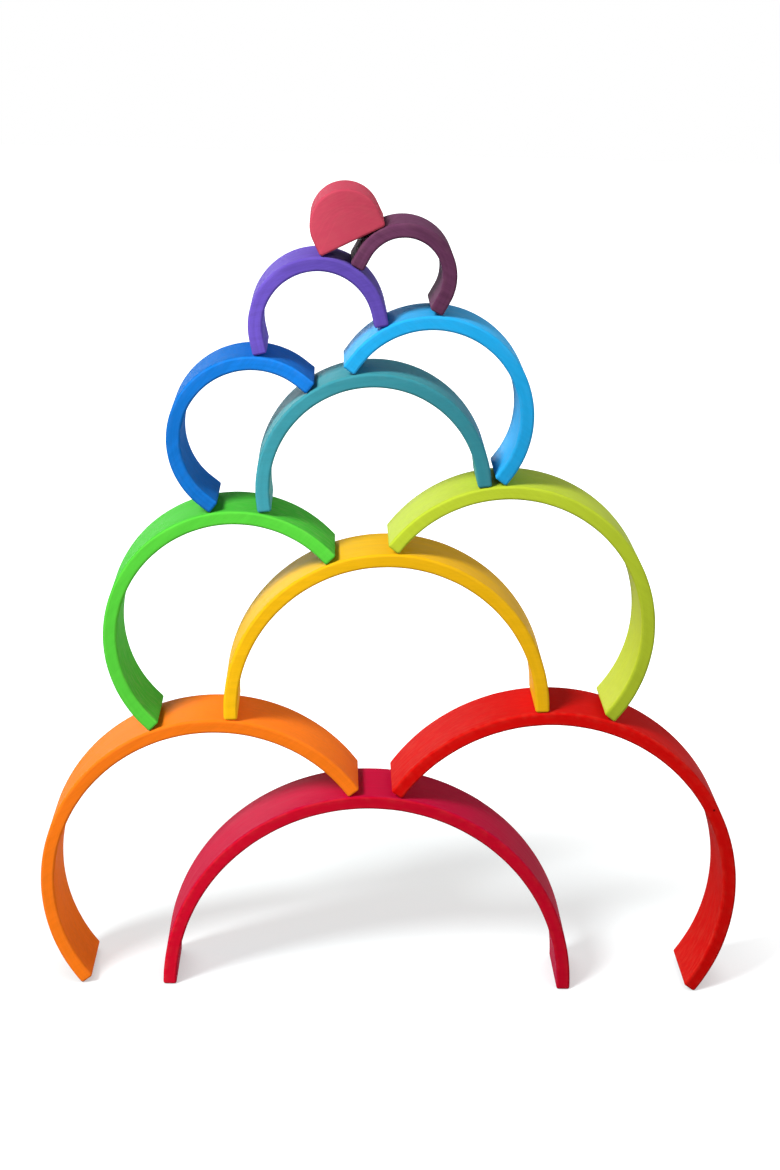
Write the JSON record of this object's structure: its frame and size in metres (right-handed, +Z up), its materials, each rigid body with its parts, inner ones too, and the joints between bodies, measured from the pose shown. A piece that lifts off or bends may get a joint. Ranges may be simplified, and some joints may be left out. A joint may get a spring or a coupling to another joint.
{
  "type": "rainbow stacker",
  "caption": "Rainbow stacking toy: sawn wooden arches and a half-round block in bright stains, nested sizes stacked as an open leaning tower.",
  "frame": {"origin": "on the floor, under the middle of the tower's box", "axes": "+Z up, -Y towards the pictured front faces, +X to the right as pictured, where the red arch stands"},
  "size_m": [0.6412, 0.072, 0.7371],
  "materials": {
    "magenta_stain": "matte stained limewood",
    "orange_stain": "matte stained limewood",
    "red_stain": "matte stained limewood",
    "yellow_stain": "matte stained limewood",
    "green_stain": "matte stained limewood",
    "lime_stain": "matte stained limewood",
    "teal_stain": "matte stained limewood",
    "blue_stain": "matte stained limewood",
    "sky_stain": "matte stained limewood",
    "violet_stain": "matte stained limewood",
    "plum_stain": "matte stained limewood",
    "block_stain": "matte stained limewood"
  },
  "bodies": {
    "magenta_arch": {"magenta_arch": "magenta_stain"},
    "orange_arch": {"orange_arch": "orange_stain"},
    "red_arch": {"red_arch": "red_stain"},
    "yellow_arch": {"yellow_arch": "yellow_stain"},
    "green_arch": {"green_arch": "green_stain"},
    "lime_arch": {"lime_arch": "lime_stain"},
    "teal_arch": {"teal_arch": "teal_stain"},
    "blue_arch": {"blue_arch": "blue_stain"},
    "sky_arch": {"sky_arch": "sky_stain"},
    "violet_arch": {"violet_arch": "violet_stain"},
    "plum_arch": {"plum_arch": "plum_stain"},
    "half_round_block": {"half_round_block": "block_stain"}
  },
  "joints": [
    {"name": "orange_lift", "type": "slide", "parent": "magenta_arch", "child": "orange_arch", "axis": [0, 0, 1], "range_m": [0, 0.205]},
    {"name": "red_lift", "type": "slide", "parent": "orange_arch", "child": "red_arch", "axis": [0, 0, 1], "range_m": [0, 0.205]},
    {"name": "yellow_lift", "type": "slide", "parent": "red_arch", "child": "yellow_arch", "axis": [0, 0, 1], "range_m": [0, 0.025]},
    {"name": "green_lift", "type": "slide", "parent": "yellow_arch", "child": "green_arch", "axis": [0, 0, 1], "range_m": [0, 0.185]},
    {"name": "lime_lift", "type": "slide", "parent": "green_arch", "child": "lime_arch", "axis": [0, 0, 1], "range_m": [0, 0.165]},
    {"name": "teal_lift", "type": "slide", "parent": "lime_arch", "child": "teal_arch", "axis": [0, 0, 1], "range_m": [0, 0.04]},
    {"name": "blue_lift", "type": "slide", "parent": "teal_arch", "child": "blue_arch", "axis": [0, 0, 1], "range_m": [0, 0.14]},
    {"name": "sky_lift", "type": "slide", "parent": "blue_arch", "child": "sky_arch", "axis": [0, 0, 1], "range_m": [0, 0.11]},
    {"name": "violet_lift", "type": "slide", "parent": "sky_arch", "child": "violet_arch", "axis": [0, 0, 1], "range_m": [0, 0.05]},
    {"name": "plum_lift", "type": "slide", "parent": "violet_arch", "child": "plum_arch", "axis": [0, 0, 1], "range_m": [0, 0.06]},
    {"name": "block_lift", "type": "slide", "parent": "plum_arch", "child": "half_round_block", "axis": [0, 0, 1], "range_m": [0, 0.045]}
  ]
}
